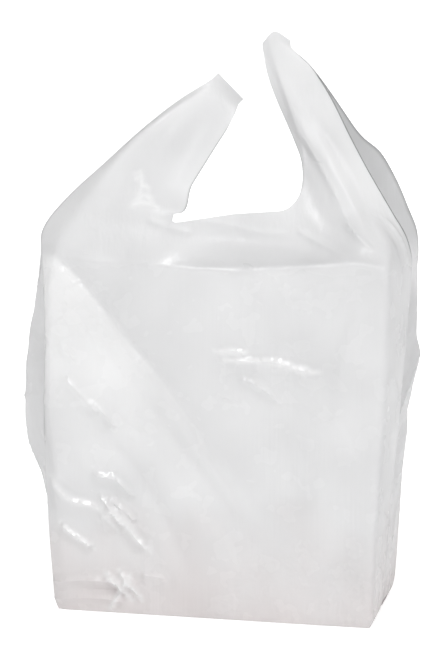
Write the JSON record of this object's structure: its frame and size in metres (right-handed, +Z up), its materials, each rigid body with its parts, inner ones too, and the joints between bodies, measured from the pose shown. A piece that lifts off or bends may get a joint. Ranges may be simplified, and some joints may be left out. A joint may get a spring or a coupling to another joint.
{
  "type": "plastic carrier bag",
  "caption": "Thin white vest carrier bag standing open in the shape of its load, with a gusseted body, an open mouth and loop handles.",
  "frame": {"origin": "middle of the flat base, on the surface that the bag stands on", "axes": "+Z up, front panel towards -Y, gussets at -X and +X"},
  "size_m": [0.3301, 0.1478, 0.497],
  "materials": {
    "film": "thin translucent white film, satin gloss with fine creases"
  },
  "bodies": {
    "root": {"carrier_bag": "film"}
  },
  "joints": []
}
